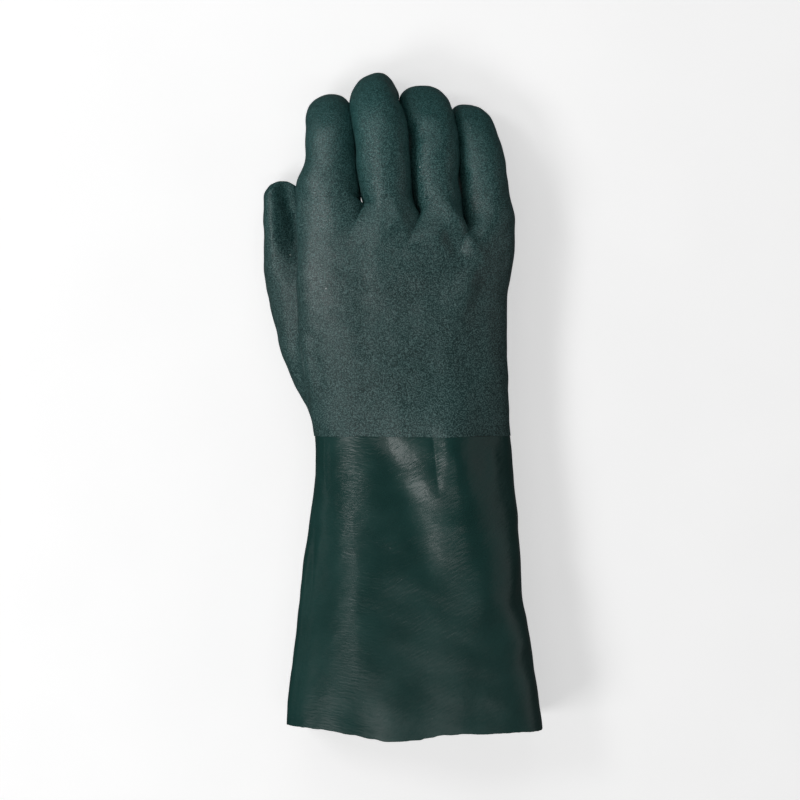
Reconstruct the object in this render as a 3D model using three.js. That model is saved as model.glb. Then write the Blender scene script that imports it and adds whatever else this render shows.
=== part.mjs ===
// A long coated work glove for the right hand, lying palm down on a table.
// Millimetres. +X is towards the little finger, +Y towards the fingertips and +Z up from the table.
import * as THREE from "three";

// Driving dimensions
const WALL = 2; // knitted lining with both dipped coats
const SECOND_COAT = 0.3; // how far the hand's sandy coat stands proud of the smooth gauntlet
const SEAM_GAP = 0.3; // between the two coats where they meet
const COATING_LINE = -14.6; // where the sandy coat ends, at the wrist
const WEB_WIDTH = 1.3; // between two fingers where they meet
const THUMB_GAP = 1.2; // between the thumb and the side of the palm that lies on it
const VALLEY_ON_BACK = 9; // how deep the webs lie below the knuckles
const VALLEY_ON_PALM = 6; // and above the underside of the finger roots
const ROUNDNESS = 2.25; // superellipse power of the sections: 2 is an ellipse
const SHOULDER = 0.2; // share of a section's outline from its top to its right shoulder

// Facets round a section. The back and the palm side have a facet group for each finger, with one
// narrow facet for the web between two groups.
const FINGERS = 4;
const ACROSS = 4;
const DEEP = 4;
const WEB_SHARE = 0.25; // a web's facet against the others
const BACK_FACETS = Array.from({ length: FINGERS * (ACROSS + 1) - 1 }, (_, column) =>
  column % (ACROSS + 1) === ACROSS ? WEB_SHARE : 1,
);
const BACK = BACK_FACETS.length;
const PALM_LEFT = 2 * BACK + DEEP; // the corner where the palm side ends, by the thumb
const AROUND_DIGIT = 2 * (ACROSS + DEEP);
const THUMB_LOBE = AROUND_DIGIT - DEEP;
const PALM_SIDE_FACETS = new Array(DEEP).fill(1);
const THUMB_SIDE_FACETS = [WEB_SHARE, ...new Array(THUMB_LOBE).fill(1), WEB_SHARE];
const AROUND_GAUNTLET = 48;

// Sections of the gauntlet, from the hem to the wrist. Left and right are its outline from above,
// top and bottom its heights, and roll lifts the thumb's side, in degrees.
const GAUNTLET_SECTIONS = [
  { y: -165.5, left: -60.3, right: 73.4, top: 57, bottom: -1.2, roll: 0 },
  { y: -158, left: -59.9, right: 72.4, top: 57, bottom: -1.2, roll: 0 },
  { y: -148, left: -59.1, right: 71.1, top: 57, bottom: -1.2, roll: 0 },
  { y: -137, left: -57.7, right: 69.4, top: 56.5, bottom: -1.2, roll: 0 },
  { y: -125, left: -56.2, right: 67.8, top: 56, bottom: -1.2, roll: 0 },
  { y: -112, left: -54.8, right: 65.8, top: 55.5, bottom: -1.2, roll: 0 },
  { y: -100, left: -53.8, right: 63.5, top: 55, bottom: -0.9, roll: 0 },
  { y: -88, left: -52.2, right: 62.6, top: 54.5, bottom: 0, roll: 0 },
  { y: -75, left: -50.6, right: 62.1, top: 54, bottom: 1.2, roll: 0 },
  { y: -62, left: -49, right: 61.2, top: 53.5, bottom: 2.2, roll: 0 },
  { y: -50, left: -47.2, right: 60.1, top: 53, bottom: 3.2, roll: 0 },
  { y: -38, left: -45.6, right: 58.9, top: 52.5, bottom: 4.2, roll: 0 },
  { y: -27, left: -45, right: 58.1, top: 52.5, bottom: 5, roll: 0.3 },
  { y: COATING_LINE, left: -45.6, right: 56.9, top: 53, bottom: 6, roll: 0.8 },
];

// Sections of the hand from the coating line to where the thumb leaves it
const HAND_SECTIONS = [
  { y: COATING_LINE, left: -45.6, right: 56.9, top: 53, bottom: 6, roll: 0.8 },
  { y: -5, left: -47.9, right: 56.3, top: 53.7, bottom: 7, roll: 1.4 },
  { y: 7, left: -50, right: 55.8, top: 54.8, bottom: 8, roll: 2.2 },
  { y: 19, left: -51.5, right: 55.4, top: 56, bottom: 9, roll: 3.2 },
  { y: 31, left: -52.8, right: 55.2, top: 57.3, bottom: 10, roll: 4 },
  { y: 42, left: -53.8, right: 55, top: 58.4, bottom: 11, roll: 4.8 },
  { y: 50, left: -54.3, right: 54.9, top: 59.2, bottom: 12, roll: 5.3 },
  { y: 57, left: -54.6, right: 55, top: 60, bottom: 13, roll: 5.7 },
];

// The thumb's root, a round lobe that swells out of the left of those sections as grown goes to 1.
// As apart goes to 1, the crease round it becomes two walls.
const THUMB_ROOT = [
  { y: COATING_LINE, x: -28.4, z: 25, radius: 17.4, grown: 0, apart: 0 },
  { y: -5, x: -31, z: 24.5, radius: 17.2, grown: 0.6, apart: 0 },
  { y: 7, x: -36.6, z: 24.5, radius: 16.8, grown: 1, apart: 0 },
  { y: 19, x: -43, z: 23.5, radius: 16.4, grown: 1, apart: 0 },
  { y: 31, x: -47.9, z: 21.8, radius: 15.9, grown: 1, apart: 0.2 },
  { y: 42, x: -51, z: 19.6, radius: 15.7, grown: 1, apart: 0.5 },
  { y: 50, x: -53, z: 18, radius: 15.5, grown: 1, apart: 0.8 },
  { y: 57, x: -54.6, z: 16.6, radius: 15.4, grown: 1, apart: 1 },
];

// Sections of the palm from the thumb to the finger roots. yLeft and yRight slant them, because the
// little finger leaves the palm nearest the wrist. backLeft and palmLeft are where the back ends and
// the palm side ends, as shares of the outline leftwards from the top. split says how far the four
// fingers show.
const PALM_SECTIONS = [
  { yLeft: 66, yRight: 65, left: -54.6, right: 56.2, top: 60.8, bottom: 14.5, roll: 6,
    backLeft: 0.278, palmLeft: 0.358, split: 0.08 },
  { yLeft: 76, yRight: 73, left: -54.2, right: 57.6, top: 61.3, bottom: 15.4, roll: 6.2,
    backLeft: 0.268, palmLeft: 0.346, split: 0.24 },
  { yLeft: 88, yRight: 80, left: -53.7, right: 58.8, top: 61.5, bottom: 16.4, roll: 6.4,
    backLeft: 0.254, palmLeft: 0.332, split: 0.55 },
  { yLeft: 100, yRight: 86, left: -54.3, right: 58.8, top: 61, bottom: 17.8, roll: 6.4,
    backLeft: 0.24, palmLeft: 0.318, split: 1 },
];

// The webs between the fingers, from the index finger's to the little finger's
const WEBS = [
  { x: -20.9, y: 101.5 },
  { x: 9, y: 99 },
  { x: 33.2, y: 90.5 },
];

// Sections across each finger and the thumb: the centre of the section, half its width and half its
// depth. Each finger is level over its root and then curls down to the table.
const INDEX_FINGER = [
  { x: -38.6, y: 110, z: 40.4, width: 16.2, depth: 17 },
  { x: -38, y: 118, z: 39.6, width: 15.2, depth: 16 },
  { x: -36.5, y: 127, z: 38.2, width: 13.2, depth: 15 },
  { x: -37, y: 136, z: 36.1, width: 13.1, depth: 14.3 },
  { x: -37.5, y: 144, z: 31.7, width: 12.9, depth: 13.5 },
  { x: -37.8, y: 149.5, z: 25.4, width: 12.5, depth: 12.8 },
  { x: -37.5, y: 152.4, z: 18.4, width: 12.1, depth: 12.6 },
  { x: -37, y: 153.2, z: 11.8, width: 11.7, depth: 12 },
];
const MIDDLE_FINGER = [
  { x: -7.8, y: 110, z: 43, width: 13.6, depth: 17 },
  { x: -9, y: 118, z: 44.8, width: 13.5, depth: 15.4 },
  { x: -9.8, y: 128, z: 45, width: 13.5, depth: 14.2 },
  { x: -10.2, y: 139, z: 43, width: 13.6, depth: 13.8 },
  { x: -11.7, y: 149, z: 38, width: 13.4, depth: 13.6 },
  { x: -13.4, y: 157.5, z: 30.2, width: 13.2, depth: 13.4 },
  { x: -13.8, y: 163, z: 21.4, width: 12.5, depth: 12.8 },
  { x: -13, y: 165.2, z: 12.2, width: 11.7, depth: 12.2 },
];
const RING_FINGER = [
  { x: 19.3, y: 106, z: 37.6, width: 11.5, depth: 16.2 },
  { x: 17.7, y: 115, z: 37.2, width: 12.2, depth: 14.6 },
  { x: 16.9, y: 126, z: 36.2, width: 12.6, depth: 13.6 },
  { x: 16.4, y: 137, z: 33.6, width: 12.8, depth: 13.2 },
  { x: 14.8, y: 146, z: 28.8, width: 13.1, depth: 13.2 },
  { x: 12.9, y: 152.8, z: 22.8, width: 13.2, depth: 13 },
  { x: 11.7, y: 156.6, z: 17, width: 12.9, depth: 12.6 },
  { x: 11.2, y: 158, z: 12, width: 12.2, depth: 12.2 },
];
const LITTLE_FINGER = [
  { x: 46.4, y: 97, z: 32.2, width: 12.5, depth: 15.4 },
  { x: 44.6, y: 106, z: 30.3, width: 12.7, depth: 14.7 },
  { x: 43.2, y: 116, z: 28.8, width: 12.4, depth: 14 },
  { x: 42.1, y: 126, z: 27.1, width: 12.2, depth: 13.5 },
  { x: 40.3, y: 135.4, z: 24.6, width: 11.9, depth: 12.6 },
  { x: 38.2, y: 143.2, z: 20, width: 11.7, depth: 12.2 },
  { x: 36.3, y: 147.8, z: 15, width: 11.4, depth: 11.7 },
  { x: 35, y: 149.8, z: 10.8, width: 10.8, depth: 11 },
];
const THUMB = [
  { x: -56.8, y: 66, z: 15.7, width: 15, depth: 15.2 },
  { x: -58.2, y: 76, z: 15, width: 14.8, depth: 14.8 },
  { x: -58.6, y: 86, z: 14.3, width: 14.2, depth: 14.3 },
  { x: -59, y: 97, z: 13.7, width: 13.9, depth: 14 },
  { x: -59.8, y: 107.6, z: 13, width: 13.4, depth: 13.4 },
];

const FINGER_CORNER = THREE.MathUtils.degToRad(135); // where a finger's ring starts, up and left
const WEB_PULL = [0.5, 1, 1, 0.5]; // how far the corners beside a web's edges come with it
const INDEX_CORNER = THREE.MathUtils.degToRad(150); // the index finger's is turned to the thumb
const THUMB_CORNER = THREE.MathUtils.degToRad(-5); // where the thumb's starts, under the palm
const TIP_LATITUDES = [30, 56].map(THREE.MathUtils.degToRad); // rings of a digit's rounded end
const THUMB_SIDE = 0.33; // share of the sections' outlines, leftwards from the top, to the thumb
const OUTLINE_DIVISIONS = 720; // for measuring along an outline
const BISECTIONS = 30; // halvings that find where an outline meets the thumb's root

// The hem is cut by hand: how far out it reaches past its section. at and spread are a wave's place
// and half its length, as shares of the outline clockwise from the top.
const HEM_WAVES = [
  { at: 0.97, spread: 0.07, out: 4.8 },
  { at: 0.11, spread: 0.035, out: 1.2 },
  { at: 0.2, spread: 0.06, out: 1 },
  { at: 0.8, spread: 0.1, out: -1.4 },
];

// A section's closed outline, set in by inset, clockwise from its top seen towards the fingertips
class Section extends THREE.Curve {
  constructor({ left, right, top, bottom, roll }, inset) {
    super();
    this.arcLengthDivisions = OUTLINE_DIVISIONS;
    this.centre = new THREE.Vector3((left + right) / 2, 0, (top + bottom) / 2);
    this.half = { x: (right - left) / 2 - inset, z: (top - bottom) / 2 - inset };
    this.roll = THREE.MathUtils.degToRad(roll);
  }

  getPoint(t, target = new THREE.Vector3()) {
    const angle = Math.PI / 2 - 2 * Math.PI * t;
    const bulge = (value) => Math.sign(value) * Math.abs(value) ** (2 / ROUNDNESS);
    target.set(this.half.x * bulge(Math.cos(angle)), 0, this.half.z * bulge(Math.sin(angle)));
    return target.applyAxisAngle(new THREE.Vector3(0, 1, 0), this.roll).add(this.centre);
  }

  pointsAt(shares) {
    return shares.map((share) => this.getPointAt(THREE.MathUtils.euclideanModulo(share, 1)));
  }

  // The share, on the way from one outside a circle to one inside it, where the outline meets it
  shareAtCircle({ x, z }, radius, outer, inner) {
    let [far, near] = [outer, inner];
    for (let step = 0; step < BISECTIONS; step += 1) {
      const middle = (far + near) / 2;
      const [point] = this.pointsAt([middle]);
      if (Math.hypot(point.x - x, point.z - z) > radius) {
        far = middle;
      } else {
        near = middle;
      }
    }
    return far;
  }
}

// Where the corners of the facets lie on the outline of a section of the hand
function cornerShares(row, leftFacets) {
  const stretches = [
    { from: -row.backLeft, to: SHOULDER, facets: BACK_FACETS },
    { from: SHOULDER, to: 0.5 - SHOULDER, facets: PALM_SIDE_FACETS },
    { from: 0.5 - SHOULDER, to: 1 - row.palmLeft, facets: BACK_FACETS },
    { from: 1 - row.palmLeft, to: 1 - row.backLeft, facets: leftFacets },
  ];
  return stretches.flatMap(({ from, to, facets }) => {
    const whole = facets.reduce((sum, facet) => sum + facet, 0);
    let before = 0;
    return facets.map((facet) => {
      const share = from + ((to - from) * before) / whole;
      before += facet;
      return share;
    });
  });
}

function handRing(row, leftFacets, inset) {
  return new Section(row, inset).pointsAt(cornerShares(row, leftFacets));
}

// Where the back and the palm side of a section end, at the crease round the thumb's root
function creaseShares(row, root) {
  const section = new Section(row, 0);
  const reach = root.radius + THUMB_GAP;
  return {
    backLeft: -section.shareAtCircle(root, reach, 0, -THUMB_SIDE),
    palmLeft: -section.shareAtCircle(root, reach, -0.5, -THUMB_SIDE),
  };
}

// Corners on the thumb's root, clockwise from the direction of one point to that of another
function lobeArc(root, inset, from, to, facets) {
  const angleOf = (point) => Math.atan2(point.z - root.z, point.x - root.x);
  const start = angleOf(from);
  const turn = THREE.MathUtils.euclideanModulo(start - angleOf(to), 2 * Math.PI);
  const reach = root.radius - inset;
  return Array.from({ length: facets + 1 }, (_, i) => {
    const angle = start - (turn * i) / facets;
    return new THREE.Vector3(root.x + reach * Math.cos(angle), root.y, root.z + reach * Math.sin(angle));
  });
}

// The thumb's centre and radius beside the palm
function thumbBeside(y) {
  const rows = [
    THUMB_ROOT[THUMB_ROOT.length - 1],
    ...THUMB.map((row) => ({ ...row, radius: row.width })),
  ];
  const next = Math.max(rows.findIndex((row) => row.y > y), 1);
  const [near, far] = [rows[next - 1], rows[next]];
  const part = THREE.MathUtils.clamp((y - near.y) / (far.y - near.y), 0, 1);
  const between = (key) => THREE.MathUtils.lerp(near[key], far[key], part);
  return { x: between("x"), z: between("z"), radius: between("radius") };
}

// The soft side of the palm gives way to the thumb under it
function giveWay(point, thumb, inset) {
  const away = new THREE.Vector3(point.x - thumb.x, 0, point.z - thumb.z);
  away.clampLength(thumb.radius + THUMB_GAP + inset, Infinity);
  return point.set(thumb.x + away.x, point.y, thumb.z + away.z);
}

// Points of a digit's section, clockwise seen from its root, in the plane across the way ahead
function digitRing(row, ahead, corner, inset, latitude = 0) {
  const sideways = new THREE.Vector3(1, 0, 0);
  sideways.addScaledVector(ahead, -sideways.dot(ahead)).normalize();
  const upwards = new THREE.Vector3().crossVectors(sideways, ahead);
  const shrink = Math.cos(latitude);
  return Array.from({ length: AROUND_DIGIT }, (_, i) => {
    const angle = corner - (2 * Math.PI * i) / AROUND_DIGIT;
    return new THREE.Vector3(row.x, row.y, row.z)
      .addScaledVector(sideways, (row.width - inset) * shrink * Math.cos(angle))
      .addScaledVector(upwards, (row.depth - inset) * shrink * Math.sin(angle))
      .addScaledVector(ahead, (row.width - inset) * Math.sin(latitude));
  });
}

// The direction of a digit at one of its sections
function directionAt(rows, i) {
  const before = rows[Math.max(i - 1, 0)];
  const after = rows[Math.min(i + 1, rows.length - 1)];
  return new THREE.Vector3(after.x - before.x, after.y - before.y, after.z - before.z).normalize();
}

// A surface of quads that share their corners
class Skin {
  points = [];
  quads = [];

  add(points) {
    const first = this.points.length;
    this.points.push(...points);
    return points.map((_, i) => first + i);
  }

  // Joins two rings with the same number of corners, each listed clockwise seen from the near one
  join(near, far) {
    near.forEach((corner, i) => {
      const next = (i + 1) % near.length;
      this.quads.push([corner, near[next], far[next], far[i]]);
    });
  }

  // Joins two open rows of corners, the second on the right of the first
  bridge(left, right) {
    for (let i = 0; i + 1 < left.length; i += 1) {
      this.quads.push([left[i], right[i], right[i + 1], left[i + 1]]);
    }
  }

  // Grows a digit out of its root ring and closes its tip
  growDigit(root, rows, corner, inset) {
    let ring = root;
    const grow = (points) => {
      const next = this.add(points);
      this.join(ring, next);
      ring = next;
    };
    rows.forEach((row, i) => grow(digitRing(row, directionAt(rows, i), corner, inset)));
    const last = rows[rows.length - 1];
    const ahead = directionAt(rows, rows.length - 1);
    TIP_LATITUDES.forEach((latitude) => grow(digitRing(last, ahead, corner, inset, latitude)));
    const tip = new THREE.Vector3(last.x, last.y, last.z).addScaledVector(ahead, last.width - inset);
    this.closeTip(ring, tip, ahead);
  }

  // Fills the last ring of a digit with a domed grid of quads
  closeTip(ring, tip, ahead) {
    const cells = AROUND_DIGIT / 4;
    const grid = Array.from({ length: cells + 1 }, () => new Array(cells + 1));
    for (let i = 0; i < cells; i += 1) {
      grid[0][i] = ring[i];
      grid[i][cells] = ring[cells + i];
      grid[cells][cells - i] = ring[2 * cells + i];
      grid[cells - i][0] = ring[3 * cells + i];
    }
    const rise = tip.clone().sub(this.points[ring[0]]).dot(ahead);
    for (let r = 1; r < cells; r += 1) {
      for (let c = 1; c < cells; c += 1) {
        const edges = [grid[r][0], grid[r][cells], grid[0][c], grid[cells][c]];
        const [west, east, north, south] = edges.map((corner) => this.points[corner]);
        const across = new THREE.Vector3().lerpVectors(west, east, c / cells);
        const along = new THREE.Vector3().lerpVectors(north, south, r / cells);
        const dome = (1 - ((2 * c) / cells - 1) ** 2) * (1 - ((2 * r) / cells - 1) ** 2);
        const point = across.lerp(along, 0.5).addScaledVector(ahead, rise * dome);
        [grid[r][c]] = this.add([point]);
      }
    }
    for (let r = 0; r < cells; r += 1) {
      this.bridge(grid[r + 1], grid[r]);
    }
  }
}

// How the finger roots move the corners of the last palm section: sideways to their fingers and,
// by the webs, into the valleys between them
function rootShifts(inset) {
  const ring = handRing(PALM_SECTIONS[PALM_SECTIONS.length - 1], PALM_SIDE_FACETS, inset);
  const half = WEB_WIDTH / 2 + inset;
  const starts = [ring[0].x, ...WEBS.map((web) => web.x + half)];
  const ends = [...WEBS.map((web) => web.x - half), ring[BACK].x];
  const shifts = ring.map(() => new THREE.Vector3());
  for (let column = 0; column <= BACK; column += 1) {
    const finger = Math.floor(column / (ACROSS + 1));
    const along = (column % (ACROSS + 1)) / ACROSS;
    const x = THREE.MathUtils.lerp(starts[finger], ends[finger], along);
    const outermost = (finger === 0 && along < 0.5) || (finger === FINGERS - 1 && along > 0.5);
    const valley = outermost ? 0 : 1 - Math.sin(Math.PI * along);
    const below = PALM_LEFT - column;
    shifts[column].set(x - ring[column].x, 0, -VALLEY_ON_BACK * valley);
    shifts[below].set(x - ring[below].x, 0, VALLEY_ON_PALM * valley);
  }
  return shifts;
}

function palmRing(row, shifts, inset) {
  return handRing(row, PALM_SIDE_FACETS, inset).map((point, i) => {
    point.addScaledVector(shifts[i], row.split);
    point.y = THREE.MathUtils.mapLinear(point.x, row.left, row.right, row.yLeft, row.yRight);
    return giveWay(point, thumbBeside(point.y), inset);
  });
}

// Bends the last palm section to pass through the webs
function bendToWebs(ring, inset) {
  WEBS.forEach((web, n) => {
    const column = (n + 1) * (ACROSS + 1) - 1;
    const bend = web.y - inset - ring[column].y;
    WEB_PULL.forEach((pull, i) => {
      const beside = column - 1 + i;
      ring[beside].y += bend * pull;
      ring[PALM_LEFT - beside].y += bend * pull;
    });
  });
  return ring;
}

// The corners down a web, between its top and its bottom corner
function webCorners(skin, top, bottom) {
  const [high, low] = [skin.points[top], skin.points[bottom]];
  const steps = Array.from({ length: DEEP - 1 }, (_, i) => (i + 1) / DEEP);
  return skin.add(steps.map((step) => new THREE.Vector3().lerpVectors(high, low, step)));
}

function growFingers(skin, palm, inset) {
  const webs = WEBS.map((_, n) => {
    const column = (n + 1) * (ACROSS + 1) - 1;
    const [left, right] = [column, column + 1].map((edge) => {
      const [top, bottom] = [palm[edge], palm[PALM_LEFT - edge]];
      return [top, ...webCorners(skin, top, bottom), bottom];
    });
    skin.bridge(left, right);
    return { left: left.slice(1, -1), right: right.slice(1, -1) };
  });
  const thumbSide = palm.slice(PALM_LEFT + 1);
  const farSide = palm.slice(BACK + 1, BACK + DEEP);
  [INDEX_FINGER, MIDDLE_FINGER, RING_FINGER, LITTLE_FINGER].forEach((rows, finger) => {
    const first = finger * (ACROSS + 1);
    const columns = Array.from({ length: ACROSS + 1 }, (_, i) => first + i);
    const root = [
      ...columns.map((column) => palm[column]),
      ...(finger < FINGERS - 1 ? webs[finger].left : farSide),
      ...columns.toReversed().map((column) => palm[PALM_LEFT - column]),
      ...(finger > 0 ? webs[finger - 1].right.toReversed() : thumbSide),
    ];
    skin.growDigit(root, rows, finger === 0 ? INDEX_CORNER : FINGER_CORNER, inset);
  });
}

// The hand's skin set in by inset: wrist and thumb root, thumb, palm and fingers
function handSkin(inset) {
  const skin = new Skin();
  const rings = HAND_SECTIONS.map((row, n) => {
    const root = THUMB_ROOT[n];
    const points = handRing({ ...row, ...creaseShares(row, root) }, THUMB_SIDE_FACETS, inset);
    points.forEach((point) => point.setY(row.y));
    [points[PALM_LEFT], points[0]].forEach((point) => {
      point.lerp(giveWay(point.clone(), root, inset), root.apart);
    });
    lobeArc(root, inset, points[PALM_LEFT], points[0], THUMB_LOBE).forEach((corner, i) => {
      points[PALM_LEFT + 1 + i].lerp(corner, root.grown);
    });
    return skin.add(points);
  });
  rings.slice(1).forEach((ring, n) => skin.join(rings[n], ring));

  const last = HAND_SECTIONS.length - 1;
  const [row, root] = [HAND_SECTIONS[last], THUMB_ROOT[last]];
  const lobe = rings[last].slice(PALM_LEFT + 1);
  const [backEnd, palmEnd] = [rings[last][0], rings[last][PALM_LEFT]];
  const underPalm = lobeArc(root, inset, skin.points[backEnd], skin.points[palmEnd], DEEP).slice(1, -1);
  const side = handRing({ ...row, ...creaseShares(row, root) }, PALM_SIDE_FACETS, inset)
    .slice(PALM_LEFT + 1)
    .map((point) => giveWay(point.setY(row.y), root, inset));
  const [thumbWeb, palmWeb] = [skin.add(underPalm), skin.add(side)];
  const rootEdge = [lobe[0], ...thumbWeb.toReversed(), lobe[THUMB_LOBE]];
  const palmEdge = [palmEnd, ...palmWeb, backEnd];
  [...rootEdge, ...palmEdge].forEach((corner) => {
    skin.points[corner].y -= inset;
  });
  skin.bridge(palmEdge, rootEdge);
  skin.growDigit([...lobe, ...thumbWeb], THUMB, THUMB_CORNER, inset);

  const shifts = rootShifts(inset);
  let palm = [...rings[last].slice(0, PALM_LEFT + 1), ...palmWeb];
  PALM_SECTIONS.forEach((section, i) => {
    const points = palmRing(section, shifts, inset);
    const next = skin.add(i + 1 === PALM_SECTIONS.length ? bendToWebs(points, inset) : points);
    skin.join(palm, next);
    palm = next;
  });
  growFingers(skin, palm, inset);
  return { skin, rims: [rings[0]] };
}

// How far the cut hem reaches past its section at one place of the outline
function hemReach(share) {
  return HEM_WAVES.reduce((sum, { at, spread, out }) => {
    const away = Math.abs(THREE.MathUtils.euclideanModulo(share - at + 0.5, 1) - 0.5);
    return sum + out * Math.exp(-((away / spread) ** 2));
  }, 0);
}

// The gauntlet's skin set in by inset
function gauntletSkin(inset) {
  const skin = new Skin();
  const shares = Array.from({ length: AROUND_GAUNTLET }, (_, i) => i / AROUND_GAUNTLET);
  const rings = GAUNTLET_SECTIONS.map((row, n) => {
    const y = row.y === COATING_LINE ? row.y - SEAM_GAP : row.y;
    const points = new Section(row, inset).pointsAt(shares);
    return skin.add(points.map((point, i) => point.setY(n === 0 ? y - hemReach(shares[i]) : y)));
  });
  rings.slice(1).forEach((ring, i) => skin.join(rings[i], ring));
  return { skin, rims: [rings[0], rings[rings.length - 1]] };
}

// The glove is soft: what would sink into the table lies flat on it
function flattenAt(points, lowest) {
  points.forEach((point) => point.setZ(Math.max(point.z, lowest)));
}

// Two triangles for a quad, split along its shorter diagonal
function splitShortest([a, b, c, d], points) {
  return points[a].distanceTo(points[c]) <= points[b].distanceTo(points[d])
    ? [a, b, c, a, c, d]
    : [a, b, d, b, c, d];
}

// One closed wall between two skins with the same corners
function wallGeometry(outside, inside, thickness) {
  flattenAt(outside.skin.points, 0);
  flattenAt(inside.skin.points, thickness);
  const points = [...outside.skin.points, ...inside.skin.points];
  const count = outside.skin.points.length;
  const quads = [
    ...outside.skin.quads,
    ...inside.skin.quads.map((quad) => quad.toReversed().map((corner) => corner + count)),
  ];
  outside.rims.forEach((rim, n) => {
    rim.forEach((corner, i) => {
      const next = rim[(i + 1) % rim.length];
      const lip = [corner, corner + count, next + count, next];
      quads.push(n === 0 ? lip : lip.toReversed());
    });
  });
  const geometry = new THREE.BufferGeometry();
  geometry.setFromPoints(points);
  geometry.setIndex(quads.flatMap((quad) => splitShortest(quad, points)));
  geometry.computeVertexNormals();
  return geometry;
}

const sandyCoat = new THREE.MeshStandardMaterial({ color: 0x35494a, roughness: 0.75, metalness: 0 });
const smoothCoat = new THREE.MeshStandardMaterial({ color: 0x1c3b3a, roughness: 0.38, metalness: 0 });

const hand = new THREE.Mesh(wallGeometry(handSkin(0), handSkin(WALL), WALL), sandyCoat);
hand.name = "hand";
const gauntletWall = wallGeometry(gauntletSkin(SECOND_COAT), gauntletSkin(WALL), WALL - SECOND_COAT);
const gauntlet = new THREE.Mesh(gauntletWall, smoothCoat);
gauntlet.name = "gauntlet";

// The glove's own origin is under the middle of its box
const glove = new THREE.Group();
glove.add(hand, gauntlet);
const box = new THREE.Box3().setFromObject(glove, true);
const middle = box.getCenter(new THREE.Vector3());
glove.children.forEach((mesh) => mesh.position.set(-middle.x, -middle.y, -box.min.z));

export default glove;
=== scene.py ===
# A long coated work glove for the right hand, lying palm down on a pale table.
# The tables and the glove's skins are in millimetres, with z up from the table. The pieces are made
# in metres. x runs towards the little finger and y towards the fingertips.
import math

import bpy
import numpy as np
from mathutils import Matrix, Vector


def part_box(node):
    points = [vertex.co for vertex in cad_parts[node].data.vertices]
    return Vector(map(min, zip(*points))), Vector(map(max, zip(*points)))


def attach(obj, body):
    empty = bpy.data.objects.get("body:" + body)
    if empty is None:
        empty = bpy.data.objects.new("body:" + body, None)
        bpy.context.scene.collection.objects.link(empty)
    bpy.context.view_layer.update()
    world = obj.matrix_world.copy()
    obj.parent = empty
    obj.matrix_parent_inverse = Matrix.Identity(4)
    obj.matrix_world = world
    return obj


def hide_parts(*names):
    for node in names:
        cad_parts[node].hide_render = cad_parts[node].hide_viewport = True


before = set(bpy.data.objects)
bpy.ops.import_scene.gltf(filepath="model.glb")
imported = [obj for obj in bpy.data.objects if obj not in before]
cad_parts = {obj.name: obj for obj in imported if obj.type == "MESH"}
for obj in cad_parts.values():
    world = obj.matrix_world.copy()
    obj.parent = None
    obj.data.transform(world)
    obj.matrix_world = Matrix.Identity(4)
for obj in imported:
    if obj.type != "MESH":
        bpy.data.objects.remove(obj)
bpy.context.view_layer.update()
MM = 0.001
TAU = 2 * math.pi

# Driving dimensions
WALL = 2.0  # knitted lining with both dipped coats
SECOND_COAT = 0.3  # how far the hand's sandy coat stands proud of the smooth gauntlet
SEAM_GAP = 0.3  # between the two coats where they meet
COATING_LINE = -14.6  # where the sandy coat ends, at the wrist
WEB_WIDTH = 1.3  # between two fingers where they meet
THUMB_GAP = 1.2  # between the thumb and the side of the palm that lies on it
VALLEY_ON_BACK = 9.0  # how deep the webs lie below the knuckles
VALLEY_ON_PALM = 6.0  # and above the underside of the finger roots
ROUNDNESS = 2.25  # superellipse power of the sections
SHOULDER = 0.2  # share of a section's outline from its top to its right shoulder

# Facets round a section, whose corners are counted from the left end of the back, down the right
# side and along the palm. The back and the palm have a narrow facet at each web.
FINGERS = 4
ACROSS = 4  # facets across each finger
DEEP = 4  # facets down its side
WEB_SHARE = 0.25  # width of a web's facet against the others
BACK_FACETS = [*[1.0] * ACROSS, *[WEB_SHARE, *[1.0] * ACROSS] * (FINGERS - 1)]
BACK = len(BACK_FACETS)  # the corner at the right end of the back
PALM_LEFT = 2 * BACK + DEEP  # the corner at the left end of the palm
WEB_CORNERS = [(n + 1) * (ACROSS + 1) - 1 for n in range(FINGERS - 1)]  # on the left of each web
AROUND_DIGIT = 2 * (ACROSS + DEEP)
THUMB_LOBE = AROUND_DIGIT - DEEP
PALM_SIDE_FACETS = [1.0] * DEEP
THUMB_SIDE_FACETS = [WEB_SHARE, *[1.0] * THUMB_LOBE, WEB_SHARE]


def table(columns, *rows):
    """The rows of a table, one dict a row."""
    return [dict(zip(columns.split(), row)) for row in rows]


def digit(*rows):
    """Sections across a finger or the thumb: centre, half the width and half the depth."""
    return table("x y z width depth", *rows)


# Sections of the gauntlet from the hem to the wrist, with the outline from above, its heights and
# how square its shoulders are: the power of the superellipse
GAUNTLET_SECTIONS = table(
    "y left right top bottom roll power",
    (-165.5, -60.3, 73.4, 57, -1.2, 0, 4),
    (-158, -59.9, 72.4, 57, -1.2, 0, 4),
    (-148, -59.1, 71.1, 57, -1.2, 0, 4),
    (-137, -57.7, 69.4, 56.5, -1.2, 0, 3.9),
    (-125, -56.2, 67.8, 56, -1.2, 0, 3.8),
    (-112, -54.8, 65.8, 55.5, -1.2, 0, 3.6),
    (-100, -53.8, 63.5, 55, -0.9, 0, 3.4),
    (-88, -52.2, 62.6, 54.5, 0, 0, 3.1),
    (-75, -50.6, 62.1, 54, 1.2, 0, 2.8),
    (-62, -49, 61.2, 53.5, 2.2, 0, 2.55),
    (-50, -47.2, 60.1, 53, 3.2, 0, 2.35),
    (-38, -45.6, 58.9, 52.5, 4.2, 0, ROUNDNESS),
    (-27, -45, 58.1, 52.5, 5, 0.3, ROUNDNESS),
    (COATING_LINE, -45.6, 56.9, 53, 6, 0.8, ROUNDNESS),
)

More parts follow.
